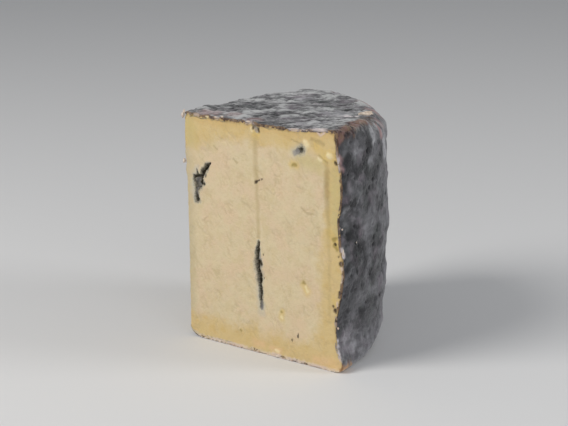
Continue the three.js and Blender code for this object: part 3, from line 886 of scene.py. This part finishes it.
def addCrumb(bm, place, size, long, axis):
    made = bmesh.ops.create_icosphere(bm, subdivisions=2, radius=size)["verts"]
    stretch = {"X": (long, 0.8, 0.8), "Y": (0.8, long, 0.8), "Z": (0.8, 0.8, long)}[axis]
    bmesh.ops.scale(bm, verts=made, vec=stretch)
    for v in made:
        v.co *= 1.0 + crumbs["uneven"] * noise.noise((v.co + place) / (size * 1.1))
    bmesh.ops.translate(bm, verts=made, vec=place)


def buildCrumbs():
    bm = bmesh.new()
    for x, y, z, size, long, axis in crumbs["named"]:
        addCrumb(bm, Vector((x, y, z)), size, long, axis)
    chance = random.Random(crumbs["seed"])
    for _ in range(crumbs["scattered"]):
        size = chance.uniform(*crumbs["sizes"])
        along = chance.uniform(*crumbs["scatteredOver"])
        onFront = chance.random() < crumbs["onFront"]
        edge = wheelForm(along, 0.0, 0.0 if onFront else quarter)
        edge.z += size * crumbs["sit"]
        out = -size * crumbs["out"]
        edge += Vector((0.0, out, 0.0)) if onFront else Vector((out, 0.0, 0.0))
        addCrumb(bm, edge, size, chance.uniform(*crumbs["lengths"]), "X" if onFront else "Y")
    for v in bm.verts:
        v.co.z = max(v.co.z, 0.0)
    return finishPiece(bm, "crumbs")


# A screen colour, 0 to 255, as the linear one that a material takes.
def linear(picked):
    parts = [c / 255.0 for c in picked]
    return (*(c / 12.92 if c <= 0.04045 else ((c + 0.055) / 1.055) ** 2.4 for c in parts), 1.0)


def linearColours(picked):
    return {name: linear(colour) for name, colour in picked.items()}


# Joins or sets a node's inputs, by whether each value comes from another node.
def setSockets(tree, node, sockets):
    for name, value in sockets.items():
        if isinstance(value, bpy.types.NodeSocket):
            tree.links.new(value, node.inputs[name])
        else:
            node.inputs[name].default_value = value


def addNode(tree, kind, sockets=None, **settings):
    made = tree.nodes.new(kind)
    for name, value in settings.items():
        setattr(made, name, value)
    setSockets(tree, made, sockets or {})
    return made


def mixColours(tree, share, a, b):
    return addNode(tree, "ShaderNodeMix", {0: share, 6: a, 7: b}, data_type="RGBA").outputs[2]


def sums(tree, operation, a, b, clamp=False):
    return addNode(tree, "ShaderNodeMath", {0: a, 1: b}, operation=operation, use_clamp=clamp).outputs[0]


def times(tree, a, b):
    return sums(tree, "MULTIPLY", a, b)


def weighted(tree, *parts):
    total = None
    for value, weight in parts:
        part = times(tree, value, weight)
        total = part if total is None else sums(tree, "ADD", total, part)
    return total


def remap(tree, value, low, high, newLow=0.0, newHigh=1.0):
    sockets = {"Value": value, "From Min": low, "From Max": high, "To Min": newLow, "To Max": newHigh}
    return addNode(tree, "ShaderNodeMapRange", sockets, interpolation_type="SMOOTHSTEP").outputs[0]


def attribute(tree, name):
    return addNode(tree, "ShaderNodeAttribute", attribute_name=name).outputs["Fac"]


# One colour laid over another where a mask is felt, up to a share.
def overlay(tree, under, mask, share, over):
    return mixColours(tree, times(tree, mask, share), under, over)


# The same with masks that the mesh holds, in turn, each with the colour of its name.
def overlayFelt(tree, under, colours, shares):
    for name, share in shares.items():
        under = overlay(tree, under, attribute(tree, name), share, colours[name])
    return under


# Place on the object in mm, for a pattern turned and then drawn out by size along its own axes.
def placeInMm(tree, turn=(0, 0, 0), size=(1, 1, 1)):
    place = addNode(tree, "ShaderNodeTexCoord").outputs["Object"]
    scale = tuple(0.001 * part for part in size)
    sockets = {"Vector": place, "Rotation": turn, "Scale": scale}
    return addNode(tree, "ShaderNodeMapping", sockets, vector_type="TEXTURE").outputs[0]


def roughNoise(tree, place, size, detail, roughness=0.6):
    scale = sums(tree, "DIVIDE", 1.0, size)
    sockets = {"Vector": place, "Scale": scale, "Detail": detail, "Roughness": roughness}
    return addNode(tree, "ShaderNodeTexNoise", sockets).outputs[0]


# A node group that takes a place and some numbers, and puts out one value that changes over the surface.
def newGroup(name, numbers, result, work):
    group = bpy.data.node_groups.new(name, "ShaderNodeTree")
    group.interface.new_socket(name="Place", in_out="INPUT", socket_type="NodeSocketVector")
    for number in numbers:
        group.interface.new_socket(name=number, in_out="INPUT", socket_type="NodeSocketFloat")
    group.interface.new_socket(name=result, in_out="OUTPUT", socket_type="NodeSocketFloat")
    given = addNode(group, "NodeGroupInput").outputs
    addNode(group, "NodeGroupOutput", {result: work(group, given)})
    return group


# Soft uneven patches, as a mask from 0 to 1.
def softClouds(group, given):
    cloud = roughNoise(group, given["Place"], given["Size"], given["Detail"])
    return remap(group, cloud, given["Low"], given["High"])


# Fine height for bumps: a crumbly grain over a softer one.
def crumblyGrain(group, given):
    coarse = roughNoise(group, given["Place"], given["Coarse"], 3.0)
    fine = roughNoise(group, given["Place"], given["Fine"], 3.0)
    return sums(group, "ADD", coarse, times(group, fine, given["Fine share"]))


# Thin crooked creases, as a mask that is 1 along them.
def thinCreases(group, given):
    wander = roughNoise(group, given["Place"], given["Size"], 2.0, 0.5)
    off = sums(group, "ABSOLUTE", sums(group, "SUBTRACT", wander, 0.5), 0.0)
    return remap(group, off, given["Width"], 0.0)


cloudNodes = newGroup("softClouds", ("Size", "Detail", "Low", "High"), "Mask", softClouds)
grainNodes = newGroup("crumblyGrain", ("Coarse", "Fine", "Fine share"), "Height", crumblyGrain)
creaseNodes = newGroup("thinCreases", ("Size", "Width"), "Mask", thinCreases)


def clouds(tree, place, size, detail, low, high):
    sockets = {"Place": place, "Size": size, "Detail": detail, "Low": low, "High": high}
    return addNode(tree, "ShaderNodeGroup", sockets, node_tree=cloudNodes).outputs[0]


def creases(tree, place, size, width):
    sockets = {"Place": place, "Size": size, "Width": width}
    return addNode(tree, "ShaderNodeGroup", sockets, node_tree=creaseNodes).outputs[0]


def grain(tree, place, coarse, fine, share):
    sockets = {"Place": place, "Coarse": coarse, "Fine": fine, "Fine share": share}
    return addNode(tree, "ShaderNodeGroup", sockets, node_tree=grainNodes).outputs[0]


def bump(tree, height, strength, distance):
    sockets = {"Height": height, "Strength": strength, "Distance": distance}
    return addNode(tree, "ShaderNodeBump", sockets).outputs[0]


def newMaterial(name):
    material = bpy.data.materials.new(name)
    material.use_nodes = True
    tree = material.node_tree
    tree.nodes.clear()
    surface = addNode(tree, "ShaderNodeBsdfPrincipled")
    addNode(tree, "ShaderNodeOutputMaterial", {"Surface": surface.outputs["BSDF"]})
    return material, tree, surface


pasteColours = {
    "cream": (212, 196, 161),
    "pinkCream": (213, 191, 159),
    "greyCream": (206, 189, 152),
    # apex: painted shade towards the apex edge
    "apex": (190, 176, 143),
    "yellow": (208, 184, 132),
    "gold": (204, 175, 114),
    "ripe": (202, 172, 115),
    # painted shade in the creases of the cut
    "shadedCrease": (176, 154, 116),
    "line": (164, 141, 92),
    "fringeDark": (120, 92, 58),
    "fringe": (168, 138, 92),
    "foot": (224, 204, 184),
    "olive": (142, 124, 54),
    "golden": (212, 184, 110),
    "sallow": (194, 178, 122),
    "peach": (222, 186, 144),
    # the tears' darker colour, partly stain and partly painted shade in them
    "tear": (140, 118, 72),
    "brown": (46, 26, 8),
    "crust": (86, 66, 54),
    "pale": (234, 219, 178),
    "lip": (206, 186, 174),
    "haze": (184, 182, 172),
    "mouldEdge": (104, 101, 88),
    "mould": (46, 41, 26),
    "mouldPale": (88, 84, 72),
    "greyMould": (146, 142, 138),
}


def pasteMaterial():
    c = linearColours(pasteColours)
    material, tree, surface = newMaterial("cheesePaste")
    place = placeInMm(tree)
    slanted = placeInMm(tree, turn=(0.6, -0.78, 0), size=(1, 1, 2.6))
    blush = clouds(tree, place, 13.0, 4.0, 0.38, 0.66)
    colour = mixColours(tree, blush, c["cream"], c["pinkCream"])
    dull = clouds(tree, place, 6.0, 4.0, 0.45, 0.72)
    colour = overlay(tree, colour, dull, 0.75, c["greyCream"])
    # painted shade that darkens the paste towards the apex edge
    colour = overlayFelt(tree, colour, c, {"apex": 0.8})
    patchy = clouds(tree, place, 6.0, 4.0, 0.3, 0.7)
    band = remap(tree, weighted(tree, (attribute(tree, "yellow"), 1.0), (patchy, 0.4)), 0.2, 1.25)
    colour = mixColours(tree, band, colour, c["yellow"])
    deeper = clouds(tree, place, 4.5, 4.0, 0.48, 0.68)
    colour = overlay(tree, colour, times(tree, deeper, band), 0.6, c["gold"])
    colour = overlayFelt(tree, colour, c, {"ripe": 0.8, "sallow": 0.6, "golden": 0.65, "peach": 0.6})
    # painted shade darkens the creases: the relief's creases and finer slanting ones, which also go into the
    # bump
    fine = creases(tree, slanted, 1.5, 0.06)
    creaseShadeMask = weighted(tree, (attribute(tree, "shadedCrease"), 0.25), (fine, 0.16))
    colour = mixColours(tree, creaseShadeMask, colour, c["shadedCrease"])
    colour = overlayFelt(tree, colour, c, {"line": 0.7, "haze": 0.45, "foot": 0.75})
    fringe = mixColours(tree, clouds(tree, place, 4.2, 3.0, 0.46, 0.56), c["fringeDark"], c["fringe"])
    colour = overlay(tree, colour, attribute(tree, "edge"), 0.72, fringe)
    marks = {"olive": 0.7, "pale": 0.7, "lip": 0.85, "tear": 0.36, "brown": 0.92, "crust": 0.85}
    colour = overlayFelt(tree, colour, c, marks)
    # the mould's edge is broken up finely round the drawn line
    speckle = clouds(tree, place, 0.8, 4.0, 0.25, 0.75)
    broken = weighted(tree, (attribute(tree, "mould"), 1.0), (speckle, 0.6))
    colour = overlay(tree, colour, remap(tree, broken, -1.1, 0.3), 0.5, c["haze"])
    colour = overlay(tree, colour, remap(tree, broken, -0.6, 0.6), 0.75, c["mouldEdge"])
    mould = remap(tree, broken, 0.2, 0.95)
    flecks = clouds(tree, place, 1.1, 3.0, 0.5, 0.72)
    colour = mixColours(tree, mould, colour, mixColours(tree, flecks, c["mould"], c["mouldPale"]))
    greyness = remap(tree, weighted(tree, (attribute(tree, "grey"), 1.0), (speckle, 0.4)), 0.3, 1.2)
    colour = overlay(tree, colour, greyness, 0.75, c["greyMould"])
    rough = remap(tree, clouds(tree, place, 2.2, 4.0, 0.3, 0.75), 0.0, 1.0, 0.46, 0.62)
    height = weighted(tree, (grain(tree, place, 1.3, 0.45, 0.4), 1.0), (fine, -0.5))
    setSockets(tree, surface, {
        "Base Color": colour,
        "Roughness": sums(tree, "ADD", rough, times(tree, mould, 0.3), clamp=True),
        "Normal": bump(tree, height, 0.4, 0.0003),
        "Subsurface Weight": 0.2,
        "Subsurface Radius": (1.0, 0.62, 0.3),
        "Subsurface Scale": 0.001,
        "Specular IOR Level": 0.32,
    })
    return material


rindColours = {
    # hollow, grey and crest colour the top by its relief: the dark hollows and pale crests are partly powder
    # and partly painted shade and painted highlight
    "hollow": (50, 51, 52),
    "grey": (104, 104, 106),
    "crest": (178, 179, 179),
    # the wall's colours: its crests are made paler partly as painted highlight
    "wallDark": (44, 44, 46),
    "wallGrey": (84, 84, 87),
    "wallPale": (146, 145, 150),
    "lilac": (128, 116, 126),
    "sage": (98, 106, 102),
    "brownDark": (44, 34, 34),
    "brown": (122, 93, 86),
    "ochre": (116, 94, 66),
    "pink": (168, 134, 132),
    # light and dark: the places made lighter and darker, partly powder and darker rind, partly painted
    # highlight and painted shade
    "light": (178, 178, 182),
    "dark": (38, 38, 41),
    "tan": (190, 146, 100),
    "white": (220, 211, 211),
    "cutDark": (78, 60, 50),
    "cutBrown": (128, 104, 80),
    "cutPale": (176, 156, 140),
}


# The top's colour: grey powder over the dark top, drawn out the way that its lumps run. It is paler on
# the crests and darker in the hollows, partly powder and partly painted highlight and painted shade.
def topBloomAndShading(tree, c, masks):
    drawnOut = placeInMm(tree, turn=(0, 0, 0.84), size=(2.4, 1, 2.4))
    streaks = clouds(tree, drawnOut, 1.7, 4.0, 0.3, 0.7)
    mottle = clouds(tree, drawnOut, 4.6, 3.0, 0.34, 0.66)
    crest, fine, patches = masks["crest"], masks["fine"], masks["patches"]
    powderAndShading = weighted(tree, (crest, 0.48), (streaks, 0.28), (mottle, 0.32), (fine, 0.1), (patches, 0.2))
    colour = mixColours(tree, remap(tree, powderAndShading, 0.4, 0.74), c["hollow"], c["grey"])
    return mixColours(tree, remap(tree, powderAndShading, 0.7, 1.05), colour, c["crest"])


# Darker powder on the wall, paler on its crests partly as painted highlight, lighter towards its foot,
# and paler on the crests of the folds towards the back, partly powder and partly painted highlight.
def wallBloomAndShading(tree, place, c, masks):
    crest, banks, wisps = masks["crest"], masks["banks"], masks["wisps"]
    powderAndShading = weighted(tree, (banks, 0.54), (wisps, 0.28), (crest, 0.18), (masks["fine"], 0.05))
    colour = mixColours(tree, remap(tree, powderAndShading, 0.2, 0.95), c["wallDark"], c["wallGrey"])
    height = addNode(tree, "ShaderNodeSeparateXYZ", {0: place}).outputs["Z"]
    low = remap(tree, height, 30.0, 6.0)
    lowPale = times(tree, low, weighted(tree, (wisps, 0.36), (masks["patches"], 0.12), (1.0, 0.17)))
    paleShare = weighted(tree, (lowPale, 1.0), (times(tree, banks, wisps), 0.25))
    colour = mixColours(tree, paleShare, colour, c["wallPale"])
    # paler crests of the folds towards the wall's far edge, partly powder and partly painted highlight
    folded = times(tree, attribute(tree, "folded"), remap(tree, crest, 0.35, 0.8))
    return overlay(tree, colour, folded, 0.55, c["wallPale"])


def rindMaterial():
    c = linearColours(rindColours)
    material, tree, surface = newMaterial("cheeseRind")
    place = placeInMm(tree)
    wide = addNode(tree, "ShaderNodeAttribute", attribute_name="unrolled").outputs["Vector"]
    masks = {
        "crest": attribute(tree, "crest"),
        "patches": clouds(tree, place, 12.0, 5.0, 0.36, 0.64),
        "fine": clouds(tree, place, 1.4, 4.0, 0.3, 0.72),
        "banks": clouds(tree, wide, 13.0, 3.0, 0.4, 0.6),
        "wisps": clouds(tree, wide, 4.0, 4.0, 0.34, 0.68),
    }
    crest, fine, wisps = masks["crest"], masks["fine"], masks["wisps"]
    wall, top = wallBloomAndShading(tree, place, c, masks), topBloomAndShading(tree, c, masks)
    colour = mixColours(tree, attribute(tree, "topward"), wall, top)
    lilac = clouds(tree, place, 10.0, 3.0, 0.5, 0.72)
    colour = overlay(tree, colour, lilac, 0.4, c["lilac"])
    sage = clouds(tree, placeInMm(tree, turn=(0.4, 0.9, 0.2)), 9.0, 3.0, 0.5, 0.72)
    colour = overlay(tree, colour, sage, 0.24, c["sage"])
    uneven = remap(tree, weighted(tree, (wisps, 0.5), (crest, 0.6)), 0.25, 0.85, 0.35, 1.0)
    # paler and darker places, partly the rind's own patches and partly painted highlight and painted shade,
    # stronger on crests
    for name, share in (("light", 0.75), ("dark", 0.66)):
        felt = times(tree, attribute(tree, name), uneven)
        colour = overlay(tree, colour, felt, share, c[name])
    rubbed = weighted(tree, (clouds(tree, place, 5.0, 3.0, 0.36, 0.64), 0.45), (crest, 0.5), (fine, 0.2))
    brown = mixColours(tree, remap(tree, rubbed, 0.36, 0.88), c["brownDark"], c["brown"])
    ochre = times(tree, clouds(tree, place, 7.0, 2.0, 0.46, 0.58), remap(tree, rubbed, 0.3, 0.7))
    brown = overlay(tree, brown, ochre, 0.7, c["ochre"])
    colour = overlay(tree, colour, attribute(tree, "brown"), 0.92, brown)
    pinkness = times(tree, attribute(tree, "pink"), remap(tree, rubbed, 0.2, 0.7, 0.2, 1.0))
    colour = overlay(tree, colour, pinkness, 0.7, c["pink"])
    cut = mixColours(tree, clouds(tree, place, 3.4, 3.0, 0.44, 0.54), c["cutDark"], c["cutBrown"])
    bloomed = clouds(tree, placeInMm(tree, turn=(0.7, 0.1, 0.3)), 6.4, 3.0, 0.58, 0.66)
    cut = mixColours(tree, bloomed, cut, c["cutPale"])
    colour = overlay(tree, colour, remap(tree, attribute(tree, "cutEdge"), 0.6, 1.0), 0.85, cut)
    colour = overlayFelt(tree, colour, c, {"tan": 0.9, "white": 0.9})
    setSockets(tree, surface, {
        "Base Color": colour,
        "Roughness": 0.88,
        "Normal": bump(tree, grain(tree, place, 0.9, 0.35, 0.5), 0.5, 0.0005),
        "Specular IOR Level": 0.22,
        "Sheen Weight": 0.4,
        "Sheen Roughness": 0.35,
    })
    return material


def crumbMaterial(name, light, dark):
    material, tree, surface = newMaterial(name)
    place = placeInMm(tree)
    patchy = clouds(tree, place, 2.2, 4.0, 0.38, 0.62)
    setSockets(tree, surface, {
        "Base Color": mixColours(tree, patchy, linear(light), linear(dark)),
        "Roughness": 0.7,
        "Normal": bump(tree, grain(tree, place, 0.6, 0.25, 0.5), 0.5, 0.0003),
        "Specular IOR Level": 0.25,
    })
    return material


def dress(piece, material):
    piece.data.materials.append(material)
    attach(piece, "root")
    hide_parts("cheese_wedge")


dress(buildRind(), rindMaterial())
dress(buildPaste(), pasteMaterial())
dress(buildFlake(), crumbMaterial("flakeCrust", (226, 214, 199), (190, 174, 158)))
dress(buildCrumbs(), crumbMaterial("crumbBits", (220, 210, 196), (196, 172, 156)))
print("pieces ready")

studio = {
    "floorSize": 6.0,
    "floor": (0.72, 0.72, 0.72, 1.0),
    "air": (0.92, 0.95, 1.0, 1.0),
    "airStrength": 0.27,
    "lightAim": 0.06,  # the lights stand round a point this high over the frame's origin
}

# Lights: azimuth (0 is in front of the front cut), elevation, distance, size, power, colour.
lights = {
    "keyLight": (-22, 38, 1.6, 0.9, 17.5, (1.0, 0.98, 0.95)),
    "rimLight": (118, 18, 1.4, 0.6, 8.0, (1.0, 1.0, 1.0)),
    "fillLight": (60, 30, 2.0, 1.4, 4.5, (1.0, 0.99, 0.98)),
}


def addFloor():
    bm = bmesh.new()
    bmesh.ops.create_grid(bm, x_segments=1, y_segments=1, size=studio["floorSize"] / 2)
    floor = newPiece(bm, "floor")
    material, tree, surface = newMaterial("paleFloor")
    setSockets(tree, surface, {"Base Color": studio["floor"], "Roughness": 0.8})
    floor.data.materials.append(material)


# A direction back from the object, for lights and the camera.
def directionBack(azimuth, elevation):
    a, e = math.radians(azimuth), math.radians(elevation)
    return Vector((math.sin(a) * math.cos(e), -math.cos(a) * math.cos(e), math.sin(e)))


def addAreaLight(name, azimuth, elevation, distance, size, power, colour):
    data = bpy.data.lights.new(name, "AREA")
    data.shape = "DISK"
    data.size = size
    data.energy = power
    data.color = colour
    light = bpy.data.objects.new(name, data)
    back = directionBack(azimuth, elevation)
    light.location = back * distance + Vector((0.0, 0.0, studio["lightAim"]))
    light.rotation_mode = "QUATERNION"
    light.rotation_quaternion = back.to_track_quat("Z", "Y")
    bpy.context.scene.collection.objects.link(light)


cameraView = {
    "azimuth": 41.27,
    "elevation": 13.82,
    "roll": -0.62,
    "distance": 0.9266,
    "lens": 121.2,
    "across": 0.0651,  # where it looks: along the front cut and up it
    "up": 0.0745,
}


def addCamera():
    data = bpy.data.cameras.new("camera")
    data.lens = cameraView["lens"]
    data.sensor_width = 36.0
    data.clip_start, data.clip_end = 0.01, 50.0
    camera = bpy.data.objects.new("camera", data)
    back = directionBack(cameraView["azimuth"], cameraView["elevation"])
    roll = math.radians(cameraView["roll"])
    right = Vector((0, 0, 1)).cross(back).normalized()
    top = back.cross(right)
    turnedRight = right * math.cos(roll) + top * math.sin(roll)
    turnedTop = top * math.cos(roll) - right * math.sin(roll)
    aim = wheelAxis + Vector((cameraView["across"], 0.0, cameraView["up"]))
    placed = Matrix((turnedRight, turnedTop, back)).transposed().to_4x4()
    placed.translation = aim + back * cameraView["distance"]
    camera.matrix_world = placed
    bpy.context.scene.collection.objects.link(camera)
    bpy.context.scene.camera = camera


addFloor()
for name, values in lights.items():
    addAreaLight(name, *values)

world = bpy.data.worlds.new("studioAir")
world.use_nodes = True
air = world.node_tree.nodes["Background"]
air.inputs["Color"].default_value = studio["air"]
air.inputs["Strength"].default_value = studio["airStrength"]
bpy.context.scene.world = world
bpy.context.scene.view_settings.view_transform = "Standard"
addCamera()
print("studio ready")
